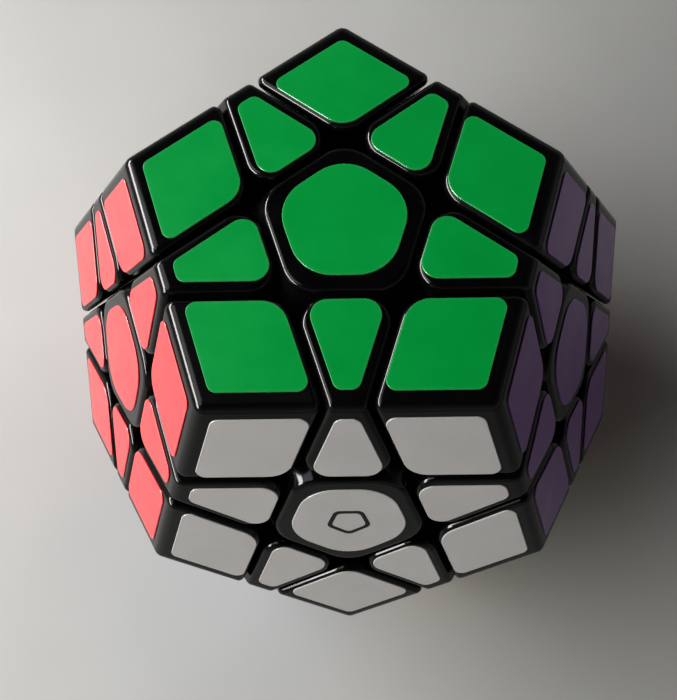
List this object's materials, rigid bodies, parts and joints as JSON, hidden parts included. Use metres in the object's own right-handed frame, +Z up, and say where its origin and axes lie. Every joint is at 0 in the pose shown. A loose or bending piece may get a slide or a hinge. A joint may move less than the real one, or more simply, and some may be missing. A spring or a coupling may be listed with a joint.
{
  "type": "dodecahedron twisty puzzle",
  "caption": "Twelve-sided turning-face puzzle: stickered black centre, edge and corner pieces held by feet around a sprung ball core.",
  "frame": {"origin": "centre of the dodecahedron, where all twelve face axes meet", "axes": "+Z up through the green face, -Y towards the white face, so the puzzle lies on its lime face"},
  "size_m": [0.0858, 0.09, 0.0734],
  "materials": {
    "piece_plastic": "moulded black ABS, semi-gloss",
    "sticker_vinyl": "gloss vinyl, one colour to a face",
    "core_plastic": "moulded white nylon",
    "screw_steel": "zinc-plated",
    "spring_steel": "drawn wire"
  },
  "bodies": {
    "core": {"core_spider": "core_plastic", "centre_screws": "screw_steel", "centre_springs": "spring_steel", "lime_centre": "piece_plastic"},
    "green_face": {"green_centre": "piece_plastic"},
    "white_face": {"white_centre": "piece_plastic"},
    "purple_face": {"purple_centre": "piece_plastic"},
    "sky_face": {"sky_centre": "piece_plastic"},
    "cream_face": {"cream_centre": "piece_plastic"},
    "red_face": {"red_centre": "piece_plastic"},
    "blue_face": {"blue_centre": "piece_plastic", "edge_blue_lime": "piece_plastic"},
    "yellow_face": {"yellow_centre": "piece_plastic", "edge_yellow_lime": "piece_plastic"},
    "orange_face": {"orange_centre": "piece_plastic", "edge_orange_lime": "piece_plastic"},
    "grey_face": {"grey_centre": "piece_plastic", "edge_grey_lime": "piece_plastic"},
    "pink_face": {"pink_centre": "piece_plastic", "edge_pink_lime": "piece_plastic"},
    "edge_green_white": {"edge_green_white": "piece_plastic"},
    "edge_green_purple": {"edge_green_purple": "piece_plastic"},
    "edge_green_sky": {"edge_green_sky": "piece_plastic"},
    "edge_green_cream": {"edge_green_cream": "piece_plastic"},
    "edge_green_red": {"edge_green_red": "piece_plastic"},
    "edge_white_purple": {"edge_white_purple": "piece_plastic"},
    "edge_white_red": {"edge_white_red": "piece_plastic"},
    "edge_white_blue": {"edge_white_blue": "piece_plastic"},
    "edge_white_yellow": {"edge_white_yellow": "piece_plastic"},
    "edge_purple_sky": {"edge_purple_sky": "piece_plastic"},
    "edge_purple_yellow": {"edge_purple_yellow": "piece_plastic"},
    "edge_purple_orange": {"edge_purple_orange": "piece_plastic"},
    "edge_sky_cream": {"edge_sky_cream": "piece_plastic"},
    "edge_sky_orange": {"edge_sky_orange": "piece_plastic"},
    "edge_sky_grey": {"edge_sky_grey": "piece_plastic"},
    "edge_cream_red": {"edge_cream_red": "piece_plastic"},
    "edge_cream_grey": {"edge_cream_grey": "piece_plastic"},
    "edge_cream_pink": {"edge_cream_pink": "piece_plastic"},
    "edge_red_blue": {"edge_red_blue": "piece_plastic"},
    "edge_red_pink": {"edge_red_pink": "piece_plastic"},
    "edge_blue_yellow": {"edge_blue_yellow_with_lime_corner": "piece_plastic"},
    "edge_blue_pink": {"edge_blue_pink_with_lime_corner": "piece_plastic"},
    "edge_yellow_orange": {"edge_yellow_orange_with_lime_corner": "piece_plastic"},
    "edge_orange_grey": {"edge_orange_grey_with_lime_corner": "piece_plastic"},
    "edge_grey_pink": {"edge_grey_pink_with_lime_corner": "piece_plastic"},
    "corner_green_white_purple": {"corner_green_white_purple": "piece_plastic"},
    "corner_green_white_red": {"corner_green_white_red": "piece_plastic"},
    "corner_green_purple_sky": {"corner_green_purple_sky": "piece_plastic"},
    "corner_green_sky_cream": {"corner_green_sky_cream": "piece_plastic"},
    "corner_green_cream_red": {"corner_green_cream_red": "piece_plastic"},
    "corner_white_purple_yellow": {"corner_white_purple_yellow": "piece_plastic"},
    "corner_white_red_blue": {"corner_white_red_blue": "piece_plastic"},
    "corner_white_blue_yellow": {"corner_white_blue_yellow": "piece_plastic"},
    "corner_purple_sky_orange": {"corner_purple_sky_orange": "piece_plastic"},
    "corner_purple_yellow_orange": {"corner_purple_yellow_orange": "piece_plastic"},
    "corner_sky_cream_grey": {"corner_sky_cream_grey": "piece_plastic"},
    "corner_sky_orange_grey": {"corner_sky_orange_grey": "piece_plastic"},
    "corner_cream_red_pink": {"corner_cream_red_pink": "piece_plastic"},
    "corner_cream_grey_pink": {"corner_cream_grey_pink": "piece_plastic"},
    "corner_red_blue_pink": {"corner_red_blue_pink": "piece_plastic"}
  },
  "joints": [
    {"name": "green_turn", "type": "hinge", "parent": "core", "child": "green_face", "pos_m": [0, 0, 0], "axis": [0, 0, 1], "continuous": true},
    {"name": "white_turn", "type": "hinge", "parent": "core", "child": "white_face", "pos_m": [0, 0, 0], "axis": [0, -0.8944, 0.4472], "range_deg": [-360, 360]},
    {"name": "purple_turn", "type": "hinge", "parent": "core", "child": "purple_face", "pos_m": [0, 0, 0], "axis": [0.8507, -0.2764, 0.4472], "range_deg": [-360, 360]},
    {"name": "sky_turn", "type": "hinge", "parent": "core", "child": "sky_face", "pos_m": [0, 0, 0], "axis": [0.5257, 0.7236, 0.4472], "range_deg": [-360, 360]},
    {"name": "cream_turn", "type": "hinge", "parent": "core", "child": "cream_face", "pos_m": [0, 0, 0], "axis": [-0.5257, 0.7236, 0.4472], "range_deg": [-360, 360]},
    {"name": "red_turn", "type": "hinge", "parent": "core", "child": "red_face", "pos_m": [0, 0, 0], "axis": [-0.8507, -0.2764, 0.4472], "range_deg": [-360, 360]},
    {"name": "blue_turn", "type": "hinge", "parent": "core", "child": "blue_face", "pos_m": [0, 0, 0], "axis": [-0.5257, -0.7236, -0.4472], "range_deg": [-396, 396]},
    {"name": "yellow_turn", "type": "hinge", "parent": "core", "child": "yellow_face", "pos_m": [0, 0, 0], "axis": [0.5257, -0.7236, -0.4472], "range_deg": [-360, 360]},
    {"name": "orange_turn", "type": "hinge", "parent": "core", "child": "orange_face", "pos_m": [0, 0, 0], "axis": [0.8507, 0.2764, -0.4472], "range_deg": [-396, 396]},
    {"name": "grey_turn", "type": "hinge", "parent": "core", "child": "grey_face", "pos_m": [0, 0, 0], "axis": [0, 0.8944, -0.4472], "range_deg": [-360, 360]},
    {"name": "pink_turn", "type": "hinge", "parent": "core", "child": "pink_face", "pos_m": [0, 0, 0], "axis": [-0.8507, 0.2764, -0.4472], "range_deg": [-360, 360]},
    {"name": "white_turn_of_edge_green_white", "type": "hinge", "parent": "green_face", "child": "edge_green_white", "pos_m": [0, 0, 0], "axis": [0, -0.8944, 0.4472], "range_deg": [-360, 360]},
    {"name": "purple_turn_of_edge_green_purple", "type": "hinge", "parent": "green_face", "child": "edge_green_purple", "pos_m": [0, 0, 0], "axis": [0.8507, -0.2764, 0.4472], "range_deg": [-360, 360]},
    {"name": "sky_turn_of_edge_green_sky", "type": "hinge", "parent": "green_face", "child": "edge_green_sky", "pos_m": [0, 0, 0], "axis": [0.5257, 0.7236, 0.4472], "range_deg": [-360, 360]},
    {"name": "cream_turn_of_edge_green_cream", "type": "hinge", "parent": "green_face", "child": "edge_green_cream", "pos_m": [0, 0, 0], "axis": [-0.5257, 0.7236, 0.4472], "range_deg": [-360, 360]},
    {"name": "red_turn_of_edge_green_red", "type": "hinge", "parent": "green_face", "child": "edge_green_red", "pos_m": [0, 0, 0], "axis": [-0.8507, -0.2764, 0.4472], "range_deg": [-360, 360]},
    {"name": "purple_turn_of_edge_white_purple", "type": "hinge", "parent": "white_face", "child": "edge_white_purple", "pos_m": [0, 0, 0], "axis": [0.8507, -0.2764, 0.4472], "range_deg": [-360, 360]},
    {"name": "red_turn_of_edge_white_red", "type": "hinge", "parent": "white_face", "child": "edge_white_red", "pos_m": [0, 0, 0], "axis": [-0.8507, -0.2764, 0.4472], "range_deg": [-360, 360]},
    {"name": "blue_turn_of_edge_white_blue", "type": "hinge", "parent": "white_face", "child": "edge_white_blue", "pos_m": [0, 0, 0], "axis": [-0.5257, -0.7236, -0.4472], "range_deg": [-396, 396]},
    {"name": "yellow_turn_of_edge_white_yellow", "type": "hinge", "parent": "white_face", "child": "edge_white_yellow", "pos_m": [0, 0, 0], "axis": [0.5257, -0.7236, -0.4472], "range_deg": [-360, 360]},
    {"name": "sky_turn_of_edge_purple_sky", "type": "hinge", "parent": "purple_face", "child": "edge_purple_sky", "pos_m": [0, 0, 0], "axis": [0.5257, 0.7236, 0.4472], "range_deg": [-360, 360]},
    {"name": "yellow_turn_of_edge_purple_yellow", "type": "hinge", "parent": "purple_face", "child": "edge_purple_yellow", "pos_m": [0, 0, 0], "axis": [0.5257, -0.7236, -0.4472], "range_deg": [-360, 360]},
    {"name": "orange_turn_of_edge_purple_orange", "type": "hinge", "parent": "purple_face", "child": "edge_purple_orange", "pos_m": [0, 0, 0], "axis": [0.8507, 0.2764, -0.4472], "range_deg": [-396, 396]},
    {"name": "cream_turn_of_edge_sky_cream", "type": "hinge", "parent": "sky_face", "child": "edge_sky_cream", "pos_m": [0, 0, 0], "axis": [-0.5257, 0.7236, 0.4472], "range_deg": [-360, 360]},
    {"name": "orange_turn_of_edge_sky_orange", "type": "hinge", "parent": "sky_face", "child": "edge_sky_orange", "pos_m": [0, 0, 0], "axis": [0.8507, 0.2764, -0.4472], "range_deg": [-396, 396]},
    {"name": "grey_turn_of_edge_sky_grey", "type": "hinge", "parent": "sky_face", "child": "edge_sky_grey", "pos_m": [0, 0, 0], "axis": [0, 0.8944, -0.4472], "range_deg": [-360, 360]},
    {"name": "red_turn_of_edge_cream_red", "type": "hinge", "parent": "cream_face", "child": "edge_cream_red", "pos_m": [0, 0, 0], "axis": [-0.8507, -0.2764, 0.4472], "range_deg": [-360, 360]},
    {"name": "grey_turn_of_edge_cream_grey", "type": "hinge", "parent": "cream_face", "child": "edge_cream_grey", "pos_m": [0, 0, 0], "axis": [0, 0.8944, -0.4472], "range_deg": [-360, 360]},
    {"name": "pink_turn_of_edge_cream_pink", "type": "hinge", "parent": "cream_face", "child": "edge_cream_pink", "pos_m": [0, 0, 0], "axis": [-0.8507, 0.2764, -0.4472], "range_deg": [-360, 360]},
    {"name": "blue_turn_of_edge_red_blue", "type": "hinge", "parent": "red_face", "child": "edge_red_blue", "pos_m": [0, 0, 0], "axis": [-0.5257, -0.7236, -0.4472], "range_deg": [-396, 396]},
    {"name": "pink_turn_of_edge_red_pink", "type": "hinge", "parent": "red_face", "child": "edge_red_pink", "pos_m": [0, 0, 0], "axis": [-0.8507, 0.2764, -0.4472], "range_deg": [-360, 360]},
    {"name": "yellow_turn_of_edge_blue_yellow", "type": "hinge", "parent": "blue_face", "child": "edge_blue_yellow", "pos_m": [0, 0, 0], "axis": [0.5257, -0.7236, -0.4472], "range_deg": [-360, 360]},
    {"name": "pink_turn_of_edge_blue_pink", "type": "hinge", "parent": "blue_face", "child": "edge_blue_pink", "pos_m": [0, 0, 0], "axis": [-0.8507, 0.2764, -0.4472], "range_deg": [-360, 360]},
    {"name": "orange_turn_of_edge_yellow_orange", "type": "hinge", "parent": "yellow_face", "child": "edge_yellow_orange", "pos_m": [0, 0, 0], "axis": [0.8507, 0.2764, -0.4472], "range_deg": [-396, 396]},
    {"name": "grey_turn_of_edge_orange_grey", "type": "hinge", "parent": "orange_face", "child": "edge_orange_grey", "pos_m": [0, 0, 0], "axis": [0, 0.8944, -0.4472], "range_deg": [-360, 360]},
    {"name": "pink_turn_of_edge_grey_pink", "type": "hinge", "parent": "grey_face", "child": "edge_grey_pink", "pos_m": [0, 0, 0], "axis": [-0.8507, 0.2764, -0.4472], "range_deg": [-360, 360]},
    {"name": "purple_turn_of_corner_green_white_purple", "type": "hinge", "parent": "edge_green_white", "child": "corner_green_white_purple", "pos_m": [0, 0, 0], "axis": [0.8507, -0.2764, 0.4472], "range_deg": [-360, 360]},
    {"name": "red_turn_of_corner_green_white_red", "type": "hinge", "parent": "edge_green_white", "child": "corner_green_white_red", "pos_m": [0, 0, 0], "axis": [-0.8507, -0.2764, 0.4472], "range_deg": [-360, 360]},
    {"name": "sky_turn_of_corner_green_purple_sky", "type": "hinge", "parent": "edge_green_purple", "child": "corner_green_purple_sky", "pos_m": [0, 0, 0], "axis": [0.5257, 0.7236, 0.4472], "range_deg": [-360, 360]},
    {"name": "cream_turn_of_corner_green_sky_cream", "type": "hinge", "parent": "edge_green_sky", "child": "corner_green_sky_cream", "pos_m": [0, 0, 0], "axis": [-0.5257, 0.7236, 0.4472], "range_deg": [-360, 360]},
    {"name": "red_turn_of_corner_green_cream_red", "type": "hinge", "parent": "edge_green_cream", "child": "corner_green_cream_red", "pos_m": [0, 0, 0], "axis": [-0.8507, -0.2764, 0.4472], "range_deg": [-360, 360]},
    {"name": "yellow_turn_of_corner_white_purple_yellow", "type": "hinge", "parent": "edge_white_purple", "child": "corner_white_purple_yellow", "pos_m": [0, 0, 0], "axis": [0.5257, -0.7236, -0.4472], "range_deg": [-360, 360]},
    {"name": "blue_turn_of_corner_white_red_blue", "type": "hinge", "parent": "edge_white_red", "child": "corner_white_red_blue", "pos_m": [0, 0, 0], "axis": [-0.5257, -0.7236, -0.4472], "range_deg": [-396, 396]},
    {"name": "yellow_turn_of_corner_white_blue_yellow", "type": "hinge", "parent": "edge_white_blue", "child": "corner_white_blue_yellow", "pos_m": [0, 0, 0], "axis": [0.5257, -0.7236, -0.4472], "range_deg": [-360, 360]},
    {"name": "orange_turn_of_corner_purple_sky_orange", "type": "hinge", "parent": "edge_purple_sky", "child": "corner_purple_sky_orange", "pos_m": [0, 0, 0], "axis": [0.8507, 0.2764, -0.4472], "range_deg": [-396, 396]},
    {"name": "orange_turn_of_corner_purple_yellow_orange", "type": "hinge", "parent": "edge_purple_yellow", "child": "corner_purple_yellow_orange", "pos_m": [0, 0, 0], "axis": [0.8507, 0.2764, -0.4472], "range_deg": [-396, 396]},
    {"name": "grey_turn_of_corner_sky_cream_grey", "type": "hinge", "parent": "edge_sky_cream", "child": "corner_sky_cream_grey", "pos_m": [0, 0, 0], "axis": [0, 0.8944, -0.4472], "range_deg": [-360, 360]},
    {"name": "grey_turn_of_corner_sky_orange_grey", "type": "hinge", "parent": "edge_sky_orange", "child": "corner_sky_orange_grey", "pos_m": [0, 0, 0], "axis": [0, 0.8944, -0.4472], "range_deg": [-360, 360]},
    {"name": "pink_turn_of_corner_cream_red_pink", "type": "hinge", "parent": "edge_cream_red", "child": "corner_cream_red_pink", "pos_m": [0, 0, 0], "axis": [-0.8507, 0.2764, -0.4472], "range_deg": [-360, 360]},
    {"name": "pink_turn_of_corner_cream_grey_pink", "type": "hinge", "parent": "edge_cream_grey", "child": "corner_cream_grey_pink", "pos_m": [0, 0, 0], "axis": [-0.8507, 0.2764, -0.4472], "range_deg": [-360, 360]},
    {"name": "pink_turn_of_corner_red_blue_pink", "type": "hinge", "parent": "edge_red_blue", "child": "corner_red_blue_pink", "pos_m": [0, 0, 0], "axis": [-0.8507, 0.2764, -0.4472], "range_deg": [-360, 360]}
  ],
  "couplings": [
    {"joint": "white_turn_of_edge_green_white", "follows": "white_turn", "ratio": 1},
    {"joint": "purple_turn_of_edge_green_purple", "follows": "purple_turn", "ratio": 1},
    {"joint": "sky_turn_of_edge_green_sky", "follows": "sky_turn", "ratio": 1},
    {"joint": "cream_turn_of_edge_green_cream", "follows": "cream_turn", "ratio": 1},
    {"joint": "red_turn_of_edge_green_red", "follows": "red_turn", "ratio": 1},
    {"joint": "purple_turn_of_edge_white_purple", "follows": "purple_turn", "ratio": 1},
    {"joint": "red_turn_of_edge_white_red", "follows": "red_turn", "ratio": 1},
    {"joint": "blue_turn_of_edge_white_blue", "follows": "blue_turn", "ratio": 1},
    {"joint": "yellow_turn_of_edge_white_yellow", "follows": "yellow_turn", "ratio": 1},
    {"joint": "sky_turn_of_edge_purple_sky", "follows": "sky_turn", "ratio": 1},
    {"joint": "yellow_turn_of_edge_purple_yellow", "follows": "yellow_turn", "ratio": 1},
    {"joint": "orange_turn_of_edge_purple_orange", "follows": "orange_turn", "ratio": 1},
    {"joint": "cream_turn_of_edge_sky_cream", "follows": "cream_turn", "ratio": 1},
    {"joint": "orange_turn_of_edge_sky_orange", "follows": "orange_turn", "ratio": 1},
    {"joint": "grey_turn_of_edge_sky_grey", "follows": "grey_turn", "ratio": 1},
    {"joint": "red_turn_of_edge_cream_red", "follows": "red_turn", "ratio": 1},
    {"joint": "grey_turn_of_edge_cream_grey", "follows": "grey_turn", "ratio": 1},
    {"joint": "pink_turn_of_edge_cream_pink", "follows": "pink_turn", "ratio": 1},
    {"joint": "blue_turn_of_edge_red_blue", "follows": "blue_turn", "ratio": 1},
    {"joint": "pink_turn_of_edge_red_pink", "follows": "pink_turn", "ratio": 1},
    {"joint": "yellow_turn_of_edge_blue_yellow", "follows": "yellow_turn", "ratio": 1},
    {"joint": "pink_turn_of_edge_blue_pink", "follows": "pink_turn", "ratio": 1},
    {"joint": "orange_turn_of_edge_yellow_orange", "follows": "orange_turn", "ratio": 1},
    {"joint": "grey_turn_of_edge_orange_grey", "follows": "grey_turn", "ratio": 1},
    {"joint": "pink_turn_of_edge_grey_pink", "follows": "pink_turn", "ratio": 1},
    {"joint": "purple_turn_of_corner_green_white_purple", "follows": "purple_turn", "ratio": 1},
    {"joint": "red_turn_of_corner_green_white_red", "follows": "red_turn", "ratio": 1},
    {"joint": "sky_turn_of_corner_green_purple_sky", "follows": "sky_turn", "ratio": 1},
    {"joint": "cream_turn_of_corner_green_sky_cream", "follows": "cream_turn", "ratio": 1},
    {"joint": "red_turn_of_corner_green_cream_red", "follows": "red_turn", "ratio": 1},
    {"joint": "yellow_turn_of_corner_white_purple_yellow", "follows": "yellow_turn", "ratio": 1},
    {"joint": "blue_turn_of_corner_white_red_blue", "follows": "blue_turn", "ratio": 1},
    {"joint": "yellow_turn_of_corner_white_blue_yellow", "follows": "yellow_turn", "ratio": 1},
    {"joint": "orange_turn_of_corner_purple_sky_orange", "follows": "orange_turn", "ratio": 1},
    {"joint": "orange_turn_of_corner_purple_yellow_orange", "follows": "orange_turn", "ratio": 1},
    {"joint": "grey_turn_of_corner_sky_cream_grey", "follows": "grey_turn", "ratio": 1},
    {"joint": "grey_turn_of_corner_sky_orange_grey", "follows": "grey_turn", "ratio": 1},
    {"joint": "pink_turn_of_corner_cream_red_pink", "follows": "pink_turn", "ratio": 1},
    {"joint": "pink_turn_of_corner_cream_grey_pink", "follows": "pink_turn", "ratio": 1},
    {"joint": "pink_turn_of_corner_red_blue_pink", "follows": "pink_turn", "ratio": 1}
  ]
}
